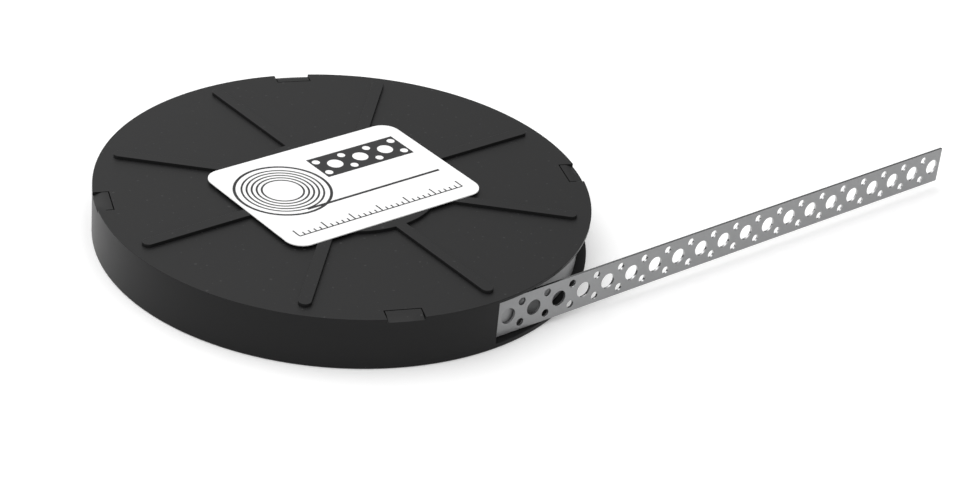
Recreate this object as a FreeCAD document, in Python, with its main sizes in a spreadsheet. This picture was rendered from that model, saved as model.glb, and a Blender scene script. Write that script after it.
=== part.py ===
import FreeCAD, Part
import math
import os

# Perforated steel strap in its round dispenser case, lying flat, in millimetres.
# The origin is the centre of the case's underside. +Z is up through the lid, and the free
# end of the strap leaves the case along +X, so every hole in it has its axis along Y.

doc = FreeCAD.newDocument("strap_dispenser")
sizes = doc.addObject("Spreadsheet::Sheet", "sizes")

SIZES = (
    ("case_diameter", 150.0, "outside of the case's wall, floor and lid"),
    ("wall_thickness", 1.8, "side wall of the case"),
    ("floor_thickness", 1.6, "bottom disc of the case"),
    ("lid_thickness", 1.0, "flat disc of the lid"),
    ("head_room", 1.4, "from the top of the coil to the underside of the lid"),
    ("mouth_angle", 60.0, "degrees of side wall left open for the strap"),
    ("foot_radius", 0.4, "rounded lower edge of the case"),
    ("tab_count", 4, "snap tabs round the case"),
    ("tab_width", 10.4, "along the rim"),
    ("tab_reach", 4.7, "from the rim inwards"),
    ("tab_gap", 0.3, "clear gap between a tab and its notch in the lid"),
    ("tab_sink", 0.05, "from the lid's face down to the flat inner half of a tab"),
    ("tab_slope", 2.6, "sloped outer half of a tab, which falls to the top of the wall"),
    ("hub_diameter", 57.0, "raised disc in the middle of the lid"),
    ("raised_height", 1.05, "raised disc and ribs above the lid's face"),
    ("rib_count", 8, "ribs that run out from the raised disc"),
    ("rib_width", 3.8, "with a round outer end of the same width"),
    ("rib_margin", 4.3, "from a rib's outer end to the rim"),
    ("rim_radius", 0.15, "rounded upper edge of the lid"),
    ("label_length", 70.0, "sticker, along the strap"),
    ("label_width", 50.0, "sticker, across the strap"),
    ("label_corner", 5.5, "corner radius of the sticker"),
    ("label_thickness", 0.3, "sticker"),
    ("strap_length", 10000.0, "whole strap, coil and free end"),
    ("strap_width", 12.0, "height of the strap, which stands on edge"),
    ("strap_thickness", 0.8, "steel sheet"),
    ("coil_side_gap", 0.5, "between the coil's outermost turn and the wall"),
    ("coil_edge_gap", 0.3, "between the coil and the floor, and the coil and a tab"),
    ("root_length", 3.0, "where the free end is still pressed on the turn behind it"),
    ("groove_width", 0.12, "line between two turns on the coil's ends"),
    ("groove_depth", 0.5, "depth of that line"),
    ("big_hole", 5.0, "diameter, on the strap's centre line"),
    ("small_hole", 2.5, "diameter, in pairs midway between the big holes"),
    ("small_hole_offset", 3.5, "from the centre line to a small hole"),
    ("hole_pitch", 9.5, "from one big hole to the next"),
    ("first_hole", 5.8, "from where the strap leaves the coil to its first big hole"),
    ("tail_holes", 20, "big holes in the free end"),
    ("end_margin", 3.7, "from the last big hole to the cut end"),
)
for row, (alias, value, note) in enumerate(SIZES, start=1):
    sizes.set("A%d" % row, alias.replace("_", " "))
    sizes.set("B%d" % row, str(value))
    sizes.setAlias("B%d" % row, alias)
    sizes.set("C%d" % row, note)
doc.recompute()


def size(alias):
    return float(sizes.get(alias))


# Places that several pieces share, as expressions on the sheet.
CASE_RADIUS = "(sizes.case_diameter / 2)"
INNER_RADIUS = "(%s - sizes.wall_thickness)" % CASE_RADIUS
COIL_RADIUS = "(%s - sizes.coil_side_gap)" % INNER_RADIUS
COIL_BOTTOM = "(sizes.floor_thickness + sizes.coil_edge_gap)"
COIL_TOP = "(%s + sizes.strap_width)" % COIL_BOTTOM
WALL_TOP = "(%s + sizes.head_room)" % COIL_TOP
LID_TOP = "(%s + sizes.lid_thickness)" % WALL_TOP
RAISED_TOP = "(%s + sizes.raised_height)" % LID_TOP
TAB_TOP = "(%s - sizes.tab_sink)" % LID_TOP
QUARTER_STEP = "(sizes.strap_thickness / 4)"
TAIL_LENGTH = "(sizes.first_hole + (sizes.tail_holes - 1) * sizes.hole_pitch + sizes.end_margin)"
MEAN_RADIUS = "(%s - sizes.strap_thickness / 2)" % COIL_RADIUS
# The section of the wound strap seen from above, and the bore that it leaves in the coil.
WOUND_AREA = "((sizes.strap_length - %s) * sizes.strap_thickness)" % TAIL_LENGTH
BORE_RADIUS = "sqrt(%s ^ 2 - %s / pi)" % (MEAN_RADIUS, WOUND_AREA)


def bind(item, **expressions):
    """Binds an object's properties to the sheet; X, Y and Z are its place."""
    for name, expression in expressions.items():
        path = "Placement.Base." + name.lower() if name in ("X", "Y", "Z") else name
        item.setExpression(path, str(expression))
    return item


def turned(item, axis, degrees):
    item.Placement = FreeCAD.Placement(item.Placement.Base, FreeCAD.Rotation(axis, degrees))
    return item


def cylinder(name, **expressions):
    return bind(doc.addObject("Part::Cylinder", name), **expressions)


def box(name, **expressions):
    return bind(doc.addObject("Part::Box", name), **expressions)


def fuse(name, shapes):
    joined = doc.addObject("Part::MultiFuse", name)
    joined.Shapes = shapes
    joined.Refine = True
    return joined


def cut(name, base, tool):
    result = doc.addObject("Part::Cut", name)
    result.Base = base
    result.Tool = tool
    result.Refine = True
    return result


def rounded(name, base, edges, radius):
    """Rounds the numbered edges of a primitive."""
    soft = doc.addObject("Part::Fillet", name)
    soft.Base = base
    soft.Edges = [(edge, radius, radius) for edge in edges]
    return soft


Z_AXIS = FreeCAD.Vector(0, 0, 1)
X_AXIS = FreeCAD.Vector(1, 0, 0)
BOTTOM_EDGE, TOP_EDGE = 2, 3
UPRIGHT_EDGES = (1, 3, 5, 7)


def spread(name, item, angle):
    """A copy of an item turned about the case's axis."""
    copy = doc.addObject("Part::Compound", name)
    copy.Links = [item]
    return turned(copy, Z_AXIS, angle)


def rim_angles():
    """The tabs stand midway between ribs, the first just after the strap's mouth."""
    count = int(size("tab_count"))
    first = -180.0 / size("rib_count")
    return [first + 360.0 * index / count for index in range(count)]


def spread_round(name, item):
    """A copy of an item at each tab."""
    return [spread("%s_%d" % (name, index + 1), item, angle)
            for index, angle in enumerate(rim_angles())]


def make_tab():
    """A slab that reaches in from the wall, its outer half sloping down to the wall's top."""
    under = COIL_TOP + " + sizes.coil_edge_gap"
    slab = box("tab_slab", Length="sizes.tab_reach", Width="sizes.tab_width",
               Height="%s - (%s)" % (TAB_TOP, under),
               X=CASE_RADIUS + " - sizes.tab_reach", Y="-sizes.tab_width / 2", Z=under)
    upright = cylinder("tab_rim", Radius=CASE_RADIUS, Height=WALL_TOP)
    slope = bind(doc.addObject("Part::Cone", "tab_slope"), Radius1=CASE_RADIUS,
                 Radius2=CASE_RADIUS + " - sizes.tab_slope",
                 Height="sizes.lid_thickness - sizes.tab_sink", Z=WALL_TOP)
    tab = doc.addObject("Part::Common", "tab")
    tab.Base = slab
    tab.Tool = fuse("tab_outline", [upright, slope])
    return tab


# The case: a floor and a side wall moulded in one, with a mouth for the strap and four tabs.
def make_case_base():
    block = cylinder("case_block", Radius=CASE_RADIUS, Height=WALL_TOP)
    doc.recompute()
    soft_block = rounded("case_block_soft", block, [BOTTOM_EDGE], size("foot_radius"))
    hollow = cylinder("case_hollow", Radius=INNER_RADIUS, Height=WALL_TOP,
                      Z="sizes.floor_thickness")
    mouth = cylinder("case_mouth", Radius=CASE_RADIUS + " + sizes.wall_thickness",
                     Height=WALL_TOP, Angle="sizes.mouth_angle", Z="sizes.floor_thickness")
    turned(mouth, Z_AXIS, -90)
    shell = cut("case_shell", soft_block, fuse("case_inside", [hollow, mouth]))
    base = fuse("case_base", [shell] + spread_round("tab", make_tab()))
    base.Label = "case_base"
    return base


# The lid: a thin disc with a notch over each tab, a raised middle and round-ended ribs.
def make_case_lid():
    disc = cylinder("lid_disc", Radius=CASE_RADIUS, Height="sizes.lid_thickness", Z=WALL_TOP)
    doc.recompute()
    soft_disc = rounded("lid_disc_soft", disc, [TOP_EDGE], size("rim_radius"))
    notch = box("notch", Length="2 * sizes.tab_reach", Width="sizes.tab_width + 2 * sizes.tab_gap",
                Height="2 * sizes.lid_thickness",
                X=CASE_RADIUS + " - sizes.tab_reach - sizes.tab_gap",
                Y="-sizes.tab_width / 2 - sizes.tab_gap", Z=WALL_TOP + " - sizes.lid_thickness / 2")
    notched = cut("lid_notched", soft_disc, fuse("notches", spread_round("lid_notch", notch)))
    raised = "sizes.raised_height + sizes.lid_thickness / 2"
    seat = LID_TOP + " - sizes.lid_thickness / 2"
    hub = cylinder("hub", Radius="sizes.hub_diameter / 2", Height=raised, Z=seat)
    reach = CASE_RADIUS + " - sizes.rib_margin - sizes.rib_width / 2"
    bar = box("rib_bar", Length=reach, Width="sizes.rib_width", Height=raised,
              Y="-sizes.rib_width / 2", Z=seat)
    end = cylinder("rib_end", Radius="sizes.rib_width / 2", Height=raised, X=reach, Z=seat)
    rib = fuse("rib", [bar, end])
    step = 360.0 / size("rib_count")
    ribs = [spread("rib_%d" % (index + 1), rib, step * index)
            for index in range(int(size("rib_count")))]
    lid = fuse("case_lid", [notched, hub] + ribs)
    lid.Label = "case_lid"
    return lid


# The sticker lies on the raised disc and on the inner ends of the ribs.
def make_label():
    sheet = box("label_sheet", Length="sizes.label_length", Width="sizes.label_width",
                Height="sizes.label_thickness", X="-sizes.label_length / 2",
                Y="-sizes.label_width / 2", Z=RAISED_TOP)
    doc.recompute()
    label = rounded("label", sheet, UPRIGHT_EDGES, size("label_corner"))
    label.Label = "label"
    return label


# The coil is a volute of quarter turns. Each quarter has its own centre, on the corners of a
# small square, so the radius falls by one strap thickness in a full turn with no step.
# Its outermost turn comes round to the strap's free end, which runs on straight along +X.
QUARTER_CORNERS = ((0, 0), (-1, 0), (-1, 1), (0, 1))


def quarter_centre(index):
    x, y = QUARTER_CORNERS[index % 4]
    return FreeCAD.Vector(x, y, 0) * (size("strap_thickness") / 4)


def volute(start_radius, quarters, height):
    """Quarter arcs that begin under the strap's free end and run clockwise seen from above."""
    step = size("strap_thickness") / 4
    arcs = []
    for index in quarters:
        centre = quarter_centre(index) + FreeCAD.Vector(0, 0, height)
        radius = start_radius - step * index
        points = []
        for part in (0, 0.5, 1):
            angle = math.radians(-90 - 90 * (index + part))
            points.append(centre + FreeCAD.Vector(math.cos(angle), math.sin(angle), 0) * radius)
        arcs.append(Part.Arc(*points).toShape())
    return arcs


def make_turn_groove(name, outer_radius, bore_radius, height):
    """The line between the turns, as a thin curved blade that is cut into one end.

    It begins a quarter turn after the free end and stops a turn short of the bore.
    """
    first_radius = outer_radius - size("strap_thickness")
    turns = int((first_radius - bore_radius) / size("strap_thickness")) - 1
    quarters = range(1, 4 * turns)
    half = size("groove_width") / 2
    far_side = volute(first_radius + half, quarters, height)
    near_side = volute(first_radius - half, quarters, height)
    caps = [Part.makeLine(far_side[place].Vertexes[place].Point,
                          near_side[place].Vertexes[place].Point) for place in (0, -1)]
    blade = Part.Face(Part.Wire(Part.__sortEdges__(far_side + near_side + caps)))
    groove = doc.addObject("Part::Feature", name)
    groove.Shape = blade.extrude(FreeCAD.Vector(0, 0, size("groove_depth")))
    return groove


def make_tail_holes():
    """Big holes on the centre line, and a pair of small ones midway to the next."""
    through = {"Height": "sizes.strap_thickness", "Y": "-" + COIL_RADIUS + " + sizes.strap_thickness"}
    centre_line = COIL_BOTTOM + " + sizes.strap_width / 2"
    holes = []
    count = int(size("tail_holes"))
    for index in range(count):
        place = "sizes.first_hole + %d * sizes.hole_pitch" % index
        big = cylinder("big_hole_%d" % (index + 1), Radius="sizes.big_hole / 2",
                       X=place, Z=centre_line, **through)
        holes.append(turned(big, X_AXIS, 90))
    for index in range(count - 1):
        place = "sizes.first_hole + %g * sizes.hole_pitch" % (index + 0.5)
        for side, sign in (("upper", "+"), ("lower", "-")):
            small = cylinder("small_hole_%s_%d" % (side, index + 1),
                             Radius="sizes.small_hole / 2", X=place,
                             Z="%s %s sizes.small_hole_offset" % (centre_line, sign), **through)
            holes.append(turned(small, X_AXIS, 90))
    return fuse("tail_holes", holes)


def make_strap():
    quarters = []
    for index in range(4):
        step_x, step_y = QUARTER_CORNERS[index]
        quarter = cylinder("quarter_turn_%d" % (index + 1), Height="sizes.strap_width",
                           Radius="%s - %d * %s" % (COIL_RADIUS, index, QUARTER_STEP), Angle="90",
                           X="%d * %s" % (step_x, QUARTER_STEP),
                           Y="%d * %s" % (step_y, QUARTER_STEP), Z=COIL_BOTTOM)
        quarters.append(turned(quarter, Z_AXIS, -180 - 90 * index))
    tail = box("tail", Length=TAIL_LENGTH, Width="sizes.strap_thickness",
               Height="sizes.strap_width", Y="-" + COIL_RADIUS, Z=COIL_BOTTOM)
    root = box("tail_root", Length="sizes.root_length",
               Width="sizes.root_length * sizes.root_length / " + COIL_RADIUS,
               Height="sizes.strap_width", Y="-" + COIL_RADIUS + " + sizes.strap_thickness",
               Z=COIL_BOTTOM)
    solid = fuse("strap_solid", quarters + [tail, root])
    bore = cylinder("coil_bore", Radius=BORE_RADIUS, Height="3 * sizes.strap_width",
                    Z="-sizes.strap_width")
    doc.recompute()
    radii = (quarters[0].Radius.Value, bore.Radius.Value)
    bottom = quarters[0].Placement.Base.z
    top = bottom + size("strap_width")
    grooves = [make_turn_groove("lower_turns", *radii, bottom),
               make_turn_groove("upper_turns", *radii, top - size("groove_depth"))]
    openings = doc.addObject("Part::Compound", "strap_openings")
    openings.Links = [bore, make_tail_holes()] + grooves
    strap = cut("strap", solid, openings)
    strap.Label = "strap"
    return strap


pieces = [make_case_base(), make_case_lid(), make_label(), make_strap()]
doc.recompute()

for item in doc.Objects:
    if "Invalid" in item.State or "Error" in item.State:
        raise RuntimeError("failed object: " + item.Name)

os.makedirs("parts", exist_ok=True)
for piece in pieces:
    shape = piece.Shape
    if shape.isNull() or not shape.isValid():
        raise RuntimeError("bad shape: " + piece.Label)
    shape.exportStep("parts/%s.step" % piece.Label)
    print(piece.Label, "solids", len(shape.Solids), "faces", len(shape.Faces),
          "volume", round(shape.Volume, 1), "box", shape.BoundBox)
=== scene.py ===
# %% [markdown]
# A coil of perforated steel strap in its round plastic dispenser case, with the free end drawn
# out. The CAD frame gives every size and place, and this file adds the looks: the strap as one
# long punched ribbon, soft moulded edges, a printed sticker, the materials and the light.

# %% Load the frame
import math
import bmesh
import bpy
from mathutils import Matrix, Vector


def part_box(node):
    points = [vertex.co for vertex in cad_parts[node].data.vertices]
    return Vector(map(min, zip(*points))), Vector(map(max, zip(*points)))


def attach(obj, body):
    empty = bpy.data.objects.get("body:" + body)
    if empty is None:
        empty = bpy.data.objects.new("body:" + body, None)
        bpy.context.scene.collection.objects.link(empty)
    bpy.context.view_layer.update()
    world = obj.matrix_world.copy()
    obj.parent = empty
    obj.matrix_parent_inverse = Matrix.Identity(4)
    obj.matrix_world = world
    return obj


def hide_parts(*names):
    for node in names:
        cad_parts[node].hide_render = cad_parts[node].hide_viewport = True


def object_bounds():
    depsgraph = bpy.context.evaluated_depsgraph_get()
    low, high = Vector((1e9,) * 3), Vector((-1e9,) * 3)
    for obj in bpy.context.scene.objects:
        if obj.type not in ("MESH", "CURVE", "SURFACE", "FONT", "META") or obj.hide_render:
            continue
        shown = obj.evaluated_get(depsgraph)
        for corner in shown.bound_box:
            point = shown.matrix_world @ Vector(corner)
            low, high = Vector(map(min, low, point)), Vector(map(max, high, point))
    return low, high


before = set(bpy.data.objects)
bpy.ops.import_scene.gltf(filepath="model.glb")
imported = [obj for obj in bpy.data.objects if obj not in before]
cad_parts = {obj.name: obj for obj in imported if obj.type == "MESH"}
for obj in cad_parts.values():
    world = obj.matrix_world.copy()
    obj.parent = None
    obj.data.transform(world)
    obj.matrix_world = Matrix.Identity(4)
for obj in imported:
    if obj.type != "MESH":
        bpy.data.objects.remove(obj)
cad_low, cad_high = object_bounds()
print("CAD box", [round(value, 4) for value in cad_high - cad_low])

# %% [markdown]
# The frame counts in metres, and the pieces are drawn in millimetres, because small numbers are
# hard to read and to fill faces between. So the CAD boxes are scaled once, here. The strap's box
# alone gives its width, the length of its free end and the radius of its coil. The sheet is
# drawn a little thinner than the step from turn to turn, so that the turns never touch.

# %% Sizes
MM = 0.001
SHEET, TURN_PITCH = 0.78, 0.8


def box_in_mm(node):
    low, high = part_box(node)
    return Vector(low) / MM, Vector(high) / MM


strap_low, strap_high = box_in_mm("strap")
label_low, label_high = box_in_mm("label")
lid_low, lid_high = box_in_mm("case_lid")
_, base_high = box_in_mm("case_base")
STRAP_WIDTH = strap_high.z - strap_low.z
STRAP_MIDDLE = (strap_low.z + strap_high.z) / 2
TAIL_LENGTH = strap_high.x
COIL_RADIUS = -strap_low.y
CASE_RADIUS = base_high.x
print("strap", round(STRAP_WIDTH, 2), "mm wide, case", round(2 * CASE_RADIUS, 2), "mm across")

# %% [markdown]
# The camera stands where the photograph's camera stood. A lens is a focal length measured in
# pixels, and Blender wants it in millimetres of a 36 mm sensor, so it is scaled by the frame's
# width. Three angles aim the camera: its heading, how far it looks down, and its roll.
# Building the rotation from three unit vectors keeps the roll plain to read.

# %% Camera
PHOTO_WIDTH = 975
FOCAL_PIXELS = 2397.3
SENSOR_WIDTH = 36.0
HALF_PIXEL = 0.5 / PHOTO_WIDTH
CAMERA_PLACE = Vector((-0.3886, -0.4994, 0.3681))
HEADING, PITCH, ROLL = (math.radians(value) for value in (41.965, 30.159, 6.148))


def aim(heading, pitch, roll):
    """Heading turns from +Y towards +X, pitch looks down, roll tilts the frame."""
    forward = Vector((math.sin(heading) * math.cos(pitch), math.cos(heading) * math.cos(pitch),
                      -math.sin(pitch)))
    level = Vector((math.cos(heading), -math.sin(heading), 0))
    turned = Matrix.Rotation(-roll, 3, forward)
    right = turned @ level
    up = turned @ level.cross(forward)
    return Matrix((right, up, -forward)).transposed()


camera_data = bpy.data.cameras.new("camera")
camera_data.sensor_width = SENSOR_WIDTH
camera_data.lens = FOCAL_PIXELS / PHOTO_WIDTH * SENSOR_WIDTH
camera_data.shift_x, camera_data.shift_y = -HALF_PIXEL, HALF_PIXEL
camera_data.clip_start = 0.01
camera = bpy.data.objects.new("camera", camera_data)
camera.matrix_world = Matrix.Translation(CAMERA_PLACE) @ aim(HEADING, PITCH, ROLL).to_4x4()
bpy.context.collection.objects.link(camera)
bpy.context.scene.camera = camera
print("lens", round(camera_data.lens, 2), "mm")

# %% [markdown]
# Shader maths reads best as plain expressions. The small class below wraps one output socket,
# and each Python operator on it adds one Math node. A second class holds a node tree and has
# one method that adds any other node, with its settings first and then its sockets.


# %% Shader helpers
class Signal:
    """One number of a shader, usable in Python expressions."""

    def __init__(self, graph, socket):
        self.graph = graph
        self.socket = socket

    def math(self, operation, *values):
        node = self.graph.add("ShaderNodeMath", {"operation": operation},
                              dict(enumerate(values)))
        return Signal(self.graph, node.outputs[0])

    def __add__(self, other):
        return self.math("ADD", self, other)

    def __radd__(self, other):
        return self.math("ADD", other, self)

    def __sub__(self, other):
        return self.math("SUBTRACT", self, other)

    def __rsub__(self, other):
        return self.math("SUBTRACT", other, self)

    def __mul__(self, other):
        return self.math("MULTIPLY", self, other)

    def __rmul__(self, other):
        return self.math("MULTIPLY", other, self)

    def __pow__(self, other):
        return self.math("POWER", self, other)

    def __mod__(self, other):
        return self.math("FLOORED_MODULO", self, other)

    def __lt__(self, other):
        return self.math("LESS_THAN", self, other)

    def __gt__(self, other):
        return self.math("GREATER_THAN", self, other)

    def __abs__(self):
        return self.math("ABSOLUTE", self)

    def root(self):
        return self.math("SQRT", self)

    def highest(self, other):
        return self.math("MAXIMUM", self, other)


class Graph:
    """A node tree that is filled from code."""

    def __init__(self, tree):
        self.tree = tree
        self.tree.nodes.clear()

    def add(self, kind, settings=None, sockets=None):
        node = self.tree.nodes.new(kind)
        for name, value in (settings or {}).items():
            setattr(node, name, value)
        for name, value in (sockets or {}).items():
            self.feed(node.inputs[name], value)
        return node

    def feed(self, target, value):
        if isinstance(value, Signal):
            value = value.socket
        if isinstance(value, bpy.types.NodeSocket):
            self.tree.links.new(value, target)
        else:
            target.default_value = value

    def signal(self, kind, output, settings=None, sockets=None):
        node = self.add(kind, settings, sockets)
        return Signal(self, node.outputs[output])

    def split(self, vector):
        """The three parts of a vector socket."""
        node = self.add("ShaderNodeSeparateXYZ", None, {"Vector": vector})
        return [Signal(self, output) for output in node.outputs]


def new_finish(name):
    """A new material and the graph of its node tree."""
    material = bpy.data.materials.new(name)
    material.use_nodes = True
    return material, Graph(material.node_tree)


print("shader helpers ready")

# %% [markdown]
# The light is one soft studio dome. It is dim near the horizon, brighter overhead and brighter
# on the left. The side light comes along the strap, so that the strap throws little shadow. A
# wide haze at the back gives the lid a sheen that fades to the right, and a window high at the
# back draws a white fleck low in each punched hole. Each of these is a smooth function of the
# angle to one direction. The camera sees plain white past the floor.

# %% Light
WHITE = (1, 1, 1, 1)
HORIZON_STRENGTH = 0.07
SIDE_AT, SIDE_STRENGTH = (175, 0), 0.86
OVERHEAD_STRENGTH, OVERHEAD_FOCUS = 1.75, 5.0
HAZE_AT, HAZE_STRENGTH, HAZE_FOCUS = (88, 32), 0.5, 8.0
WINDOW_AT, WINDOW_STRENGTH = (104, 46), 1.15
WINDOW_EDGE, WINDOW_CORE = 0.94, 0.97

world = bpy.data.worlds.new("studio")
world.use_nodes = True
bpy.context.scene.world = world
dome = Graph(world.node_tree)
direction = dome.add("ShaderNodeTexCoord").outputs["Generated"]


def closeness(degrees):
    """The cosine of the angle to a direction, given as its azimuth from +X and its height."""
    azimuth, height = (math.radians(value) for value in degrees)
    towards = (math.cos(azimuth) * math.cos(height), math.sin(azimuth) * math.cos(height),
               math.sin(height))
    return dome.signal("ShaderNodeVectorMath", "Value", {"operation": "DOT_PRODUCT"},
                       {0: direction, 1: towards})


side = closeness(SIDE_AT) * 0.5 + 0.5
overhead = dome.split(direction)[2].highest(0.0) ** OVERHEAD_FOCUS
haze = closeness(HAZE_AT).highest(0.0) ** HAZE_FOCUS
window = dome.signal("ShaderNodeMapRange", "Result", {"interpolation_type": "SMOOTHSTEP"},
                     {"Value": closeness(WINDOW_AT), "From Min": WINDOW_EDGE,
                      "From Max": WINDOW_CORE})
strength = (HORIZON_STRENGTH + side * SIDE_STRENGTH + overhead * OVERHEAD_STRENGTH
            + haze * HAZE_STRENGTH + window * WINDOW_STRENGTH)
lit = dome.add("ShaderNodeBackground", None, {"Color": WHITE, "Strength": strength})
seen = dome.add("ShaderNodeBackground", None, {"Color": WHITE, "Strength": 1.0})
rays = dome.add("ShaderNodeLightPath")
mixed = dome.add("ShaderNodeMixShader", None,
                 {0: rays.outputs["Is Camera Ray"], 1: lit.outputs[0], 2: seen.outputs[0]})
dome.add("ShaderNodeOutputWorld", None, {"Surface": mixed.outputs[0]})
print("studio dome ready")

# %% [markdown]
# The floor is a large white sheet. It keeps the object's real shadow, and a little white is
# added for what the camera and glossy surfaces see, so that it ends at plain white away from
# the object. From below it is clear, so the underside of the case can be looked at.

# %% Floor
FLOOR_SIZE = 6.0
FLOOR_DROP = 0.0001
FLOOR_COLOR = (0.86, 0.86, 0.86, 1)
FLOOR_GLOW = 0.23

sheet = bmesh.new()
bmesh.ops.create_grid(sheet, x_segments=1, y_segments=1, size=FLOOR_SIZE / 2)
bmesh.ops.translate(sheet, verts=sheet.verts, vec=(0, 0, cad_low.z - FLOOR_DROP))
floor_mesh = bpy.data.meshes.new("floor")
sheet.to_mesh(floor_mesh)
sheet.free()
floor = bpy.data.objects.new("floor", floor_mesh)
bpy.context.collection.objects.link(floor)

white_floor, paint = new_finish("white_floor")
matt = paint.add("ShaderNodeBsdfDiffuse", None, {"Color": FLOOR_COLOR})
glow = paint.add("ShaderNodeEmission", None, {"Color": WHITE, "Strength": FLOOR_GLOW})
lifted = paint.add("ShaderNodeAddShader", None, {0: matt.outputs[0], 1: glow.outputs[0]})
rays = paint.add("ShaderNodeLightPath")
looked_at = (Signal(paint, rays.outputs["Is Camera Ray"])
             .highest(Signal(paint, rays.outputs["Is Glossy Ray"]))
             .highest(Signal(paint, rays.outputs["Is Transmission Ray"])))
upper_side = paint.add("ShaderNodeMixShader", None,
                       {0: looked_at, 1: matt.outputs[0], 2: lifted.outputs[0]})
clear = paint.add("ShaderNodeBsdfTransparent")
back = paint.add("ShaderNodeNewGeometry").outputs["Backfacing"]
both = paint.add("ShaderNodeMixShader", None,
                 {0: back, 1: upper_side.outputs[0], 2: clear.outputs[0]})
paint.add("ShaderNodeOutputMaterial", None, {"Surface": both.outputs[0]})
floor.data.materials.append(white_floor)
print("floor ready")

# %% [markdown]
# Every finish below is a small pattern of its own in Object coordinates. The pieces sit at the
# origin, so those coordinates are real places in metres, and a scale of 1000 makes them
# millimetres. Noise and cells then have sizes that can be read off a real surface.

# %% Pattern helpers
LEVEL_ENOUGH = 0.9


def place_in_mm(graph):
    place = graph.add("ShaderNodeTexCoord").outputs["Object"]
    node = graph.add("ShaderNodeVectorMath", {"operation": "SCALE"}, {0: place, "Scale": 1 / MM})
    return node.outputs[0]


def noise(graph, place, scale, detail=2.0):
    return graph.signal("ShaderNodeTexNoise", "Fac", None,
                        {"Vector": place, "Scale": scale, "Detail": detail})


def mix_color(graph, factor, first, second):
    node = graph.add("ShaderNodeMix", {"data_type": "RGBA"}, {0: factor, 6: first, 7: second})
    return node.outputs[2]


def bump(graph, height, strength, depth):
    """A normal that follows a height, with the depth in millimetres."""
    node = graph.add("ShaderNodeBump", None,
                     {"Strength": strength, "Distance": depth * MM, "Height": height})
    return node.outputs[0]


def facing_up(graph):
    """1 where a surface is nearly level, else 0."""
    normal = graph.add("ShaderNodeNewGeometry").outputs["Normal"]
    return abs(graph.split(normal)[2]) > LEVEL_ENOUGH


print("pattern helpers ready")

# %% [markdown]
# The case is black moulded plastic. The mould's upper faces are spark-eroded, which leaves a
# fine grain with a few pale specks. The grain is a small bump, and a rough coat gives these
# faces the wide sheen that makes them look paler. The walls slide out of the mould and are
# smooth, and so is the inside.

# %% Plastic
SMOOTH_BLACK, GRAINED_BLACK = (0.0133, 0.0133, 0.0136, 1), (0.0125, 0.0125, 0.0128, 1)
GRAINED_FROM = 15.0
GRAIN_SCALE, GRAIN_BUMP, GRAIN_DEPTH = 2.6, 0.35, 0.04
GRAIN_SHEEN, SHEEN_ROUGHNESS = 0.36, 0.42
SPECK_SCALE, SPECK_LEVEL, SPECK_SHARE = 0.8, 0.8, 0.5
SPECK_GREY = (0.055, 0.055, 0.056, 1)
CLOUD_SCALE = 0.05
SMOOTH_ROUGHNESS, CLOUD_ROUGHNESS, GRAIN_ROUGHNESS = 0.34, 0.06, 0.12
PLASTIC_SPECULAR = 0.11


def make_plastic():
    material, graph = new_finish("black_plastic")
    place = place_in_mm(graph)
    level = facing_up(graph) * (graph.split(place)[2] > GRAINED_FROM)
    grain = noise(graph, place, GRAIN_SCALE)
    clouds = noise(graph, place, CLOUD_SCALE)
    specks = noise(graph, place, SPECK_SCALE, 0.0) > SPECK_LEVEL
    tone = mix_color(graph, level, SMOOTH_BLACK, GRAINED_BLACK)
    roughness = SMOOTH_ROUGHNESS + clouds * CLOUD_ROUGHNESS + level * GRAIN_ROUGHNESS
    shader = graph.add("ShaderNodeBsdfPrincipled", None, {
        "Base Color": mix_color(graph, specks * level * SPECK_SHARE, tone, SPECK_GREY),
        "Roughness": roughness, "Specular IOR Level": PLASTIC_SPECULAR,
        "Coat Weight": level * GRAIN_SHEEN, "Coat Roughness": SHEEN_ROUGHNESS,
        "Normal": bump(graph, grain * level, GRAIN_BUMP, GRAIN_DEPTH)})
    graph.add("ShaderNodeOutputMaterial", None, {"Surface": shader.outputs[0]})
    return material


black_plastic = make_plastic()
print("plastic ready")

# %% [markdown]
# The strap is galvanised sheet steel: a dull grey zinc skin with faint crystals, rolled
# lengthwise. Old zinc is partly a grey oxide, so the finish is not all metal. Its streaks run
# along the strap, free end and coil alike, because they vary only across its width. The punch
# cuts through the zinc and burnishes the walls of the holes, so these are bare and bright, and
# the sheared long edges are bare and darker. Both are told from the two faces of the free end
# by their normals, which have no part along Y, and from the next turn of the coil by their
# place. The holes stay within HOLES_REACH of the strap's middle line.

# %% Steel
ZINC_PALE, ZINC_DARK = (0.327, 0.329, 0.333, 1), (0.288, 0.290, 0.294, 1)
BURNISHED, SHEARED = (0.46, 0.462, 0.465, 1), (0.27, 0.272, 0.275, 1)
ZINC_METALLIC, BARE_METALLIC, ZINC_SPECULAR = 0.45, 0.9, 0.2
ZINC_ROUGHNESS, TONE_ROUGHNESS, BARE_SMOOTHNESS = 0.38, 0.10, 0.28
CRYSTAL_SCALE, CRYSTAL_SHARE = 0.42, 0.35
STREAK_SCALE, STREAK_STRETCH = 2.2, (0.02, 0.02, 1.0)
STREAK_BUMP, STREAK_DEPTH = 0.15, 0.02
STRAIGHT_FROM, NEXT_TURN = 1.0, TURN_PITCH - COIL_RADIUS
SIDEWAYS_ENOUGH, HOLES_REACH = 0.5, 5.0


def on_cut_wall(graph, place):
    """1 on the free end's hole walls and cut edges, else 0."""
    normal = graph.add("ShaderNodeNewGeometry").outputs["Normal"]
    along, across, _ = graph.split(place)
    straight = (along > STRAIGHT_FROM) * (across < NEXT_TURN)
    return (abs(graph.split(normal)[1]) < SIDEWAYS_ENOUGH) * straight


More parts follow.
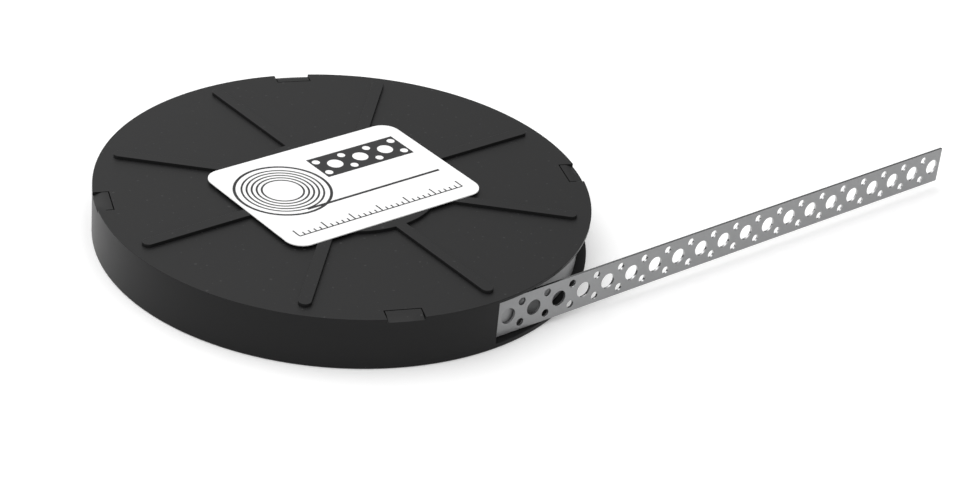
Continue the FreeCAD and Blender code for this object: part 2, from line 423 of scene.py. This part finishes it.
def make_steel():
    material, graph = new_finish("galvanised_steel")
    place = place_in_mm(graph)
    crystals = graph.signal("ShaderNodeTexVoronoi", "Color", None,
                            {"Vector": place, "Scale": CRYSTAL_SCALE})
    stretched = graph.add("ShaderNodeMapping", None, {"Vector": place, "Scale": STREAK_STRETCH})
    streaks = noise(graph, stretched.outputs[0], STREAK_SCALE)
    cut = on_cut_wall(graph, place)
    in_hole = abs(graph.split(place)[2] - STRAP_MIDDLE) < HOLES_REACH
    tone = crystals * CRYSTAL_SHARE + streaks * (1 - CRYSTAL_SHARE)
    skin = mix_color(graph, tone, ZINC_DARK, ZINC_PALE)
    bare = mix_color(graph, in_hole, SHEARED, BURNISHED)
    shader = graph.add("ShaderNodeBsdfPrincipled", None, {
        "Base Color": mix_color(graph, cut, skin, bare),
        "Metallic": ZINC_METALLIC + cut * (BARE_METALLIC - ZINC_METALLIC),
        "Roughness": ZINC_ROUGHNESS + tone * TONE_ROUGHNESS - cut * BARE_SMOOTHNESS,
        "Specular IOR Level": ZINC_SPECULAR,
        "Normal": bump(graph, streaks, STREAK_BUMP, STREAK_DEPTH)})
    graph.add("ShaderNodeOutputMaterial", None, {"Surface": shader.outputs[0]})
    return material


galvanised = make_steel()
print("steel ready")

# %% [markdown]
# The sticker is white paper with a generic print in black: the coil seen from above with its
# free end, a stretch of the strap at its real size, and a scale with a mark every second
# millimetre. Each motif is a mask, 1 inside and 0 outside, from the place on the sheet, and the
# ink is where any is 1.

# %% Paper and print
PAPER_WHITE, INK_BLACK = (0.96, 0.96, 0.96, 1), (0.03, 0.03, 0.031, 1)
PAPER_ROUGHNESS, FIBRE_ROUGHNESS, INK_SMOOTHNESS, PAPER_SPECULAR = 0.55, 0.1, 0.15, 0.3
FIBRE_SCALE, FIBRE_DETAIL, FIBRE_BUMP, FIBRE_DEPTH = 3.0, 4.0, 0.1, 0.02
COIL_AT, COIL_RINGS = (-19.0, 5.0), (5.5, 12.7)
RING_PITCH, RING_LINE = 1.5, 0.6
DRUM_RADIUS, DRUM_LINE, TAIL_LINE = 14.5, 0.9, 1.0
SAMPLE_AT, SAMPLE_SIZE = (14.0, 11.0), (32.4, 12.0)
SCALE_AT, SCALE_SIZE = (0.0, -19.5), (60.0, 0.5)
MARK_WIDTH, SHORT_MARKS, LONG_MARKS = 0.5, (2.0, 1.6), (10.0, 3.6)
HOLE_PITCH = 9.5
BIG_RADIUS, SMALL_RADIUS, SMALL_OFFSET = 2.5, 1.25, 3.5


def block(x, y, centre, size):
    return (abs(x - centre[0]) < size[0] / 2) * (abs(y - centre[1]) < size[1] / 2)


def distance(x, y, centre):
    across, along = x - centre[0], y - centre[1]
    return (across * across + along * along).root()


def coil_motif(x, y):
    reach = distance(x, y, COIL_AT)
    rings = (reach % RING_PITCH < RING_LINE) * (reach > COIL_RINGS[0]) * (reach < COIL_RINGS[1])
    drum = abs(reach - DRUM_RADIUS) < DRUM_LINE / 2
    tail_end = SAMPLE_AT[0] + SAMPLE_SIZE[0] / 2
    length = tail_end - COIL_AT[0]
    tail_at = (tail_end - length / 2, COIL_AT[1] - COIL_RINGS[1])
    tail = block(x, y, tail_at, (length, TAIL_LINE))
    return rings.highest(drum).highest(tail)


def strap_motif(x, y):
    """A stretch of strap as a black bar with its holes left white."""
    from_hole = x - SAMPLE_AT[0]
    big_x = (from_hole + HOLE_PITCH / 2) % HOLE_PITCH - HOLE_PITCH / 2
    small_x = from_hole % HOLE_PITCH - HOLE_PITCH / 2
    from_middle = y - SAMPLE_AT[1]
    big = distance(big_x, from_middle, (0, 0)) < BIG_RADIUS
    small = distance(small_x, abs(from_middle), (0, SMALL_OFFSET)) < SMALL_RADIUS
    return block(x, y, SAMPLE_AT, SAMPLE_SIZE) * (1 - big.highest(small))


def scale_motif(x, y):
    """A line with marks, each kind given by its step and its height."""
    drawn = block(x, y, SCALE_AT, SCALE_SIZE)
    for step, height in (SHORT_MARKS, LONG_MARKS):
        near = abs((x + step / 2) % step - step / 2) < MARK_WIDTH / 2
        area = block(x, y, (SCALE_AT[0], SCALE_AT[1] + height / 2),
                     (SCALE_SIZE[0] + MARK_WIDTH, height))
        drawn = drawn.highest(near * area)
    return drawn


def make_paper():
    material, graph = new_finish("printed_paper")
    place = place_in_mm(graph)
    x, y, _ = graph.split(place)
    ink = coil_motif(x, y).highest(strap_motif(x, y)).highest(scale_motif(x, y))
    ink = ink * facing_up(graph)
    fibres = noise(graph, place, FIBRE_SCALE, FIBRE_DETAIL)
    shader = graph.add("ShaderNodeBsdfPrincipled", None, {
        "Base Color": mix_color(graph, ink, PAPER_WHITE, INK_BLACK),
        "Roughness": PAPER_ROUGHNESS + fibres * FIBRE_ROUGHNESS - ink * INK_SMOOTHNESS,
        "Specular IOR Level": PAPER_SPECULAR,
        "Normal": bump(graph, fibres, FIBRE_BUMP, FIBRE_DEPTH)})
    graph.add("ShaderNodeOutputMaterial", None, {"Surface": shader.outputs[0]})
    return material


paper = make_paper()
print("paper ready")

# %% [markdown]
# This helper scales a finished drawing from millimetres to metres, makes the object, hangs it
# under the root body and hides the CAD node it stands for. Weighted normals keep the large flat
# faces flat in shade, and let only the rounded edges catch light.

# %% Piece helper
SMOOTH_UNDER = math.radians(55)
FLAT_UNDER = math.radians(0.5)
TINY = 0.0001


def verts_of(items):
    return [item for item in items if isinstance(item, bmesh.types.BMVert)]


def finish_piece(name, drawing, node, finish):
    """Makes an object from a drawing in millimetres, in place of a CAD node."""
    bmesh.ops.scale(drawing, verts=drawing.verts, vec=(MM, MM, MM))
    mesh = bpy.data.meshes.new(name)
    drawing.to_mesh(mesh)
    drawing.free()
    mesh.shade_smooth()
    mesh.set_sharp_from_angle(angle=SMOOTH_UNDER)
    mesh.materials.append(finish)
    piece = bpy.data.objects.new(name, mesh)
    bpy.context.collection.objects.link(piece)
    flat = piece.modifiers.new("flat_faces", "WEIGHTED_NORMAL")
    flat.keep_sharp = True
    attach(piece, "root")
    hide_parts(node)
    print(name, len(mesh.polygons), "faces")


print("piece helper ready")

# %% [markdown]
# The strap is made as the real one is: punched flat, cut to 10 m and rolled up. The flat sheet
# starts as an outline and a ring of quads round every hole, and one fill joins them. The rings
# and a narrow border give the later rounding clean faces to work on.

# %% Strap sheet
FIRST_HOLE = 5.8
HOLE_COUNT = 20
BORDER = 0.4
BIG_SIDES, SMALL_SIDES = 48, 32

strip = bmesh.new()
bmesh.ops.create_grid(strip, x_segments=1, y_segments=1, size=0.5)
bmesh.ops.translate(strip, verts=strip.verts, vec=(0.5, 0, 0))
bmesh.ops.scale(strip, verts=strip.verts, vec=(TAIL_LENGTH - BORDER, STRAP_WIDTH - 2 * BORDER, 1))
bmesh.ops.delete(strip, geom=strip.faces[:], context="FACES_ONLY")
long_edges = [edge for edge in strip.edges if edge.calc_length() > STRAP_WIDTH]
bmesh.ops.subdivide_edges(strip, edges=long_edges, cuts=2 * HOLE_COUNT - 1)
open_edges = strip.edges[:]


def add_hole(x, y, radius, sides):
    """A hole's rim and a wider circle, with quads between them."""
    rims = []
    for reach in (radius, radius + BORDER):
        circle = bmesh.ops.create_circle(strip, segments=sides, radius=reach,
                                         matrix=Matrix.Translation((x, y, 0)))
        rims.append(list({edge for vert in circle["verts"] for edge in vert.link_edges}))
    bmesh.ops.bridge_loops(strip, edges=rims[0] + rims[1])
    open_edges.extend(rims[1])


for number in range(HOLE_COUNT):
    hole_x = FIRST_HOLE + HOLE_PITCH * number
    add_hole(hole_x, 0, BIG_RADIUS, BIG_SIDES)
    if number < HOLE_COUNT - 1:
        add_hole(hole_x + HOLE_PITCH / 2, SMALL_OFFSET, SMALL_RADIUS, SMALL_SIDES)
        add_hole(hole_x + HOLE_PITCH / 2, -SMALL_OFFSET, SMALL_RADIUS, SMALL_SIDES)
bmesh.ops.triangle_fill(strip, use_beauty=True, edges=open_edges, normal=(0, 0, 1))
print("flat strap", len(strip.faces), "faces")

# %% [markdown]
# A border of quads goes round the outline, and an extrusion gives the sheet its thickness. The
# punch and the shears leave slightly round edges, so every edge that turns by a right angle
# gets a bevel, except at the end where the coil goes on.

# %% Strap thickness
EDGE_ROUND = 0.07
RIGHT_ANGLE = math.radians(60)


def draw_border(belongs, step):
    """Draws part of the outline outwards as a band of quads."""
    edges = [edge for edge in strip.edges
             if edge.is_boundary and all(belongs(vert.co) for vert in edge.verts)]
    band = bmesh.ops.extrude_edge_only(strip, edges=edges)
    bmesh.ops.translate(strip, verts=verts_of(band["geom"]), vec=step)


half_width = STRAP_WIDTH / 2 - BORDER
draw_border(lambda place: place.x > TAIL_LENGTH - BORDER - TINY, (BORDER, 0, 0))
draw_border(lambda place: place.y > half_width - TINY, (0, BORDER, 0))
draw_border(lambda place: place.y < TINY - half_width, (0, -BORDER, 0))
other_side = bmesh.ops.extrude_face_region(strip, geom=strip.faces[:], use_keep_orig=True)
bmesh.ops.translate(strip, verts=verts_of(other_side["geom"]), vec=(0, 0, SHEET))
bmesh.ops.recalc_face_normals(strip, faces=strip.faces)
sharp = [edge for edge in strip.edges if edge.calc_face_angle(0) > RIGHT_ANGLE
         and max(vert.co.x for vert in edge.verts) > TINY]
bmesh.ops.bevel(strip, geom=sharp, offset=EDGE_ROUND, offset_type="OFFSET", segments=2,
                profile=0.5, affect="EDGES", material=-1, clamp_overlap=False)
print("rounded edges", len(sharp))

# %% [markdown]
# The sheet is stood on edge, and its open end is drawn out to the rest of the 10 m and cut into
# short steps. The coil is a volute: each quarter turn is an arc with a centre of its own, on
# the corners of a small square, so the radius falls by one turn's pitch in a full turn. The
# steps are shared out by angle, so neighbouring turns have their corners side by side.

# %% Strap coil
STRAP_LENGTH = 10000.0
STEPS_A_QUARTER = 30
QUARTER_CORNERS = ((0, 0), (-1, 0), (-1, 1), (0, 1))

start_faces = [face for face in strip.faces if all(vert.co.x < TINY for vert in face.verts)]
bmesh.ops.delete(strip, geom=start_faces, context="FACES")
bmesh.ops.rotate(strip, verts=strip.verts, cent=(0, 0, 0),
                 matrix=Matrix.Rotation(math.pi / 2, 3, "X"))
bmesh.ops.translate(strip, verts=strip.verts, vec=(0, SHEET - COIL_RADIUS, STRAP_MIDDLE))

coiled = STRAP_LENGTH - TAIL_LENGTH
quarters, left = 0.0, coiled
while left > TINY:
    arc = (COIL_RADIUS - SHEET / 2 - TURN_PITCH / 4 * quarters) * math.pi / 2
    part = min(1.0, left / arc)
    quarters += part
    left -= part * arc

open_loop = [edge for edge in strip.edges if edge.is_boundary]
drawn_out = bmesh.ops.extrude_edge_only(strip, edges=open_loop)
bmesh.ops.translate(strip, verts=verts_of(drawn_out["geom"]), vec=(-coiled, 0, 0))
bmesh.ops.edgeloop_fill(strip, edges=[edge for edge in strip.edges if edge.is_boundary])
long_edges = [edge for edge in strip.edges if edge.calc_length() > coiled / 2]
bmesh.ops.subdivide_edges(strip, edges=long_edges, cuts=round(quarters * STEPS_A_QUARTER) - 1,
                          use_grid_fill=True)


def roll_up(vert):
    """Moves a point of the straight strap to its place in the coil."""
    turned = -vert.co.x / coiled * quarters
    number = int(min(turned, quarters - TINY))
    corner = Vector(QUARTER_CORNERS[number % 4]) * TURN_PITCH / 4
    reach = -vert.co.y - TURN_PITCH / 4 * number
    angle = -math.pi / 2 * (1 + turned)
    vert.co.x = corner.x + reach * math.cos(angle)
    vert.co.y = corner.y + reach * math.sin(angle)


for vert in strip.verts:
    if vert.co.x < 0:
        roll_up(vert)
bmesh.ops.recalc_face_normals(strip, faces=strip.faces)
print("turns", round(quarters / 4, 1), "closed", all(edge.is_manifold for edge in strip.edges))
finish_piece("steel_strap", strip, "strap", galvanised)

# %% [markdown]
# The sticker starts as one rectangle. Bevelling its four corner points rounds it in plan, an
# extrusion gives it its thickness, and a small bevel softens the upper rim of the paper.

# %% Label
LABEL_CORNER, CORNER_SEGMENTS = 5.5, 12
PAPER_EDGE = 0.08

label_size = label_high - label_low
sticker = bmesh.new()
bmesh.ops.create_grid(sticker, x_segments=1, y_segments=1, size=0.5)
bmesh.ops.scale(sticker, verts=sticker.verts, vec=(label_size.x, label_size.y, 1))
bmesh.ops.translate(sticker, verts=sticker.verts, vec=(0, 0, label_low.z))
bmesh.ops.bevel(sticker, geom=sticker.verts[:], offset=LABEL_CORNER, offset_type="OFFSET",
                segments=CORNER_SEGMENTS, profile=0.5, affect="VERTICES", material=-1)
upper = bmesh.ops.extrude_face_region(sticker, geom=sticker.faces[:], use_keep_orig=True)
bmesh.ops.translate(sticker, verts=verts_of(upper["geom"]), vec=(0, 0, label_size.z))
bmesh.ops.recalc_face_normals(sticker, faces=sticker.faces)
rim = [edge for edge in sticker.edges
       if all(vert.co.z > label_high.z - TINY for vert in edge.verts)]
bmesh.ops.bevel(sticker, geom=rim, offset=PAPER_EDGE, offset_type="OFFSET", segments=2,
                profile=0.5, affect="EDGES", material=-1)
print("label closed", all(edge.is_manifold for edge in sticker.edges))
finish_piece("paper_label", sticker, "label", paper)

# %% [markdown]
# The case and the lid are mouldings, drawn as a toolmaker would: plain solids that are raised,
# joined and cut. Three helpers do that. One raises faces into a solid, one joins or cuts two
# closed drawings with a Boolean modifier, and one rounds edges. All circles have the same
# number of steps, so the facets of the case and the lid lie over each other.

# %% Solid helpers
RIM_STEPS = 144
WELD = 0.001
LEVEL = Vector((0, 0, 1))


def raise_faces(drawing, faces, height, keep=False):
    """Draws faces upwards and returns the points of their new place."""
    drawn = bmesh.ops.extrude_face_region(drawing, geom=faces)
    if not keep:
        bmesh.ops.delete(drawing, geom=faces, context="FACES")
    bmesh.ops.translate(drawing, verts=verts_of(drawn["geom"]), vec=LEVEL * height)
    return verts_of(drawn["geom"])


def disc(radius, bottom, height):
    """A closed cylinder about the case's axis."""
    drawing = bmesh.new()
    bmesh.ops.create_circle(drawing, cap_ends=True, segments=RIM_STEPS, radius=radius,
                            matrix=Matrix.Translation(LEVEL * bottom))
    raise_faces(drawing, drawing.faces[:], height, keep=True)
    bmesh.ops.recalc_face_normals(drawing, faces=drawing.faces)
    return drawing


def loose_object(drawing, name):
    mesh = bpy.data.meshes.new(name)
    drawing.to_mesh(mesh)
    drawing.free()
    item = bpy.data.objects.new(name, mesh)
    bpy.context.collection.objects.link(item)
    return item


def combine(first, operation, second):
    """Joins or cuts one closed drawing with another. Both are used up."""
    pair = loose_object(first, "body"), loose_object(second, "tool")
    boolean = pair[0].modifiers.new("combine", "BOOLEAN")
    boolean.operation, boolean.solver, boolean.object = operation, "EXACT", pair[1]
    result = bmesh.new()
    result.from_object(pair[0], bpy.context.evaluated_depsgraph_get())
    for item in pair:
        mesh = item.data
        bpy.data.objects.remove(item)
        bpy.data.meshes.remove(mesh)
    bmesh.ops.remove_doubles(result, verts=result.verts, dist=WELD)
    bmesh.ops.dissolve_limit(result, angle_limit=FLAT_UNDER, verts=result.verts,
                             edges=result.edges)
    return result


def soften(drawing, belongs, amount, segments=2):
    """Rounds the outer corners between faces that meet at about a right angle."""
    edges = [edge for edge in drawing.edges
             if edge.calc_face_angle_signed(0) > RIGHT_ANGLE and belongs(edge)]
    bmesh.ops.bevel(drawing, geom=edges, offset=amount, offset_type="OFFSET", segments=segments,
                    profile=0.5, affect="EDGES", material=-1, clamp_overlap=False)
    closed = all(edge.is_manifold for edge in drawing.edges)
    print("softened", len(edges), "edges, closed", closed)


def lowest_point(edge):
    return min(vert.co.z for vert in edge.verts)


def highest_point(edge):
    return max(vert.co.z for vert in edge.verts)


print("solid helpers ready")

# %% [markdown]
# The case starts as a floor disc. Insetting its top by the wall's thickness leaves a ring, and
# raising the ring makes the wall, except for the ring's faces in the mouth where the strap
# comes out. That needs no cutting, and the ends of the wall close by themselves.

# %% Case floor and wall
WALL, FLOOR_SHEET = 1.8, 1.6
WALL_TOP = lid_low.z
MOUTH = (math.radians(-90), math.radians(-30))
FOOT_ROUND, FOOT_SEGMENTS = 0.4, 4
MOULD_ROUND = 0.12


def in_mouth(place):
    return MOUTH[0] - TINY < math.atan2(place.y, place.x) < MOUTH[1] + TINY


case = disc(CASE_RADIUS, 0, FLOOR_SHEET)
floor_top = [face for face in case.faces if face.normal.z > LEVEL_ENOUGH]
ring = bmesh.ops.inset_region(case, faces=floor_top, thickness=WALL, use_even_offset=True)
wall = [face for face in ring["faces"] if not in_mouth(face.calc_center_median())]
raise_faces(case, wall, WALL_TOP - FLOOR_SHEET)
soften(case, lambda edge: highest_point(edge) < TINY, FOOT_ROUND, FOOT_SEGMENTS)

# %% [markdown]
# Four snap tabs reach in from the wall and fill notches in the lid. Each is a block whose
# outer half slopes down to the wall's top. All four are cut at once out of one cone-topped
# disc: the blocks say where a tab is, and the disc gives the slope and the round outer face. A
# shape that only cuts reaches PAST the piece, so that no two faces lie in one plane.

# %% Snap tabs
TAB_ANGLES = [math.radians(-22.5 + 90 * index) for index in range(4)]
TAB_WIDTH, TAB_REACH = 10.4, 4.7
TAB_GAP, COIL_GAP = 0.3, 0.3
TAB_TOP, TAB_UNDER = base_high.z, strap_high.z + COIL_GAP
TAB_SLOPE, TAB_ROUND = 2.6, 0.05
PAST = 1.0


def tab_blocks(bottom, top, gap=0.0):
    """A block at each tab, from its inner end to past the rim."""
    drawing = bmesh.new()
    length = 2 * TAB_REACH
    middle = (CASE_RADIUS - TAB_REACH - gap + length / 2, 0, (bottom + top) / 2)
    extent = (length, TAB_WIDTH + 2 * gap, top - bottom, 1)
    for angle in TAB_ANGLES:
        place = (Matrix.Rotation(angle, 4, "Z") @ Matrix.Translation(middle)
                 @ Matrix.Diagonal(extent))
        bmesh.ops.create_cube(drawing, size=1, matrix=place)
    return drawing


sloped = disc(CASE_RADIUS, TAB_UNDER - PAST, WALL_TOP - TAB_UNDER + PAST)
cap = [face for face in sloped.faces if face.normal.z > LEVEL_ENOUGH]
narrow_end = raise_faces(sloped, cap, TAB_TOP - WALL_TOP)
narrowing = 1 - TAB_SLOPE / CASE_RADIUS
bmesh.ops.scale(sloped, verts=narrow_end, vec=(narrowing, narrowing, 1))
tabs = combine(tab_blocks(TAB_UNDER, TAB_TOP), "INTERSECT", sloped)
case = combine(case, "UNION", tabs)
soften(case, lambda edge: highest_point(edge) > WALL_TOP + TINY, TAB_ROUND)
soften(case, lambda edge: all(in_mouth(vert.co) for vert in edge.verts)
       and lowest_point(edge) > FLOOR_SHEET - TINY, MOULD_ROUND)
finish_piece("case_moulding", case, "case_base", black_plastic)

# %% [markdown]
# The lid is a thin disc with a notch round each tab. Its raised middle and eight ribs are one
# shape. A rib is a flat strip whose two outer corner points are bevelled by half its width,
# which makes a true half-round end, and then it is raised. Spin copies it round the case.

# %% Lid
LID_SHEET = 1.0
HUB_RADIUS, RIB_COUNT = 28.5, 8
RIB_WIDTH, RIB_MARGIN, RIB_START = 3.8, 4.3, 20.0
RIB_CORNER_SEGMENTS = 8

lid_face = lid_low.z + LID_SHEET
lid = combine(disc(CASE_RADIUS, lid_low.z, LID_SHEET), "DIFFERENCE",
              tab_blocks(lid_low.z - PAST, lid_high.z, TAB_GAP))

ribs = bmesh.new()
rib_end = CASE_RADIUS - RIB_MARGIN
bmesh.ops.create_grid(ribs, x_segments=1, y_segments=1, size=0.5)
bmesh.ops.scale(ribs, verts=ribs.verts, vec=(rib_end - RIB_START, RIB_WIDTH, 1))
bmesh.ops.translate(ribs, verts=ribs.verts,
                    vec=((rib_end + RIB_START) / 2, 0, lid_face - LID_SHEET / 2))
corners = [vert for vert in ribs.verts if vert.co.x > rib_end - TINY]
bmesh.ops.bevel(ribs, geom=corners, offset=RIB_WIDTH / 2, offset_type="OFFSET",
                segments=RIB_CORNER_SEGMENTS, profile=0.5, affect="VERTICES", material=-1)
bmesh.ops.remove_doubles(ribs, verts=ribs.verts, dist=WELD)
raised = lid_high.z - lid_face + LID_SHEET / 2
raise_faces(ribs, ribs.faces[:], raised, keep=True)
bmesh.ops.recalc_face_normals(ribs, faces=ribs.faces)
bmesh.ops.spin(ribs, geom=ribs.faces[:], cent=(0, 0, 0), axis=LEVEL, use_duplicate=True,
               steps=RIB_COUNT - 1, angle=2 * math.pi * (RIB_COUNT - 1) / RIB_COUNT)
raised_part = combine(disc(HUB_RADIUS, lid_face - LID_SHEET / 2, raised), "UNION", ribs)
lid = combine(lid, "UNION", raised_part)
soften(lid, lambda edge: lowest_point(edge) > lid_face - TINY, MOULD_ROUND)
finish_piece("lid_moulding", lid, "case_lid", black_plastic)

# %% [markdown]
# Last, colours are shown with the Standard view transform.

# %% Output
bpy.context.scene.view_settings.view_transform = "Standard"
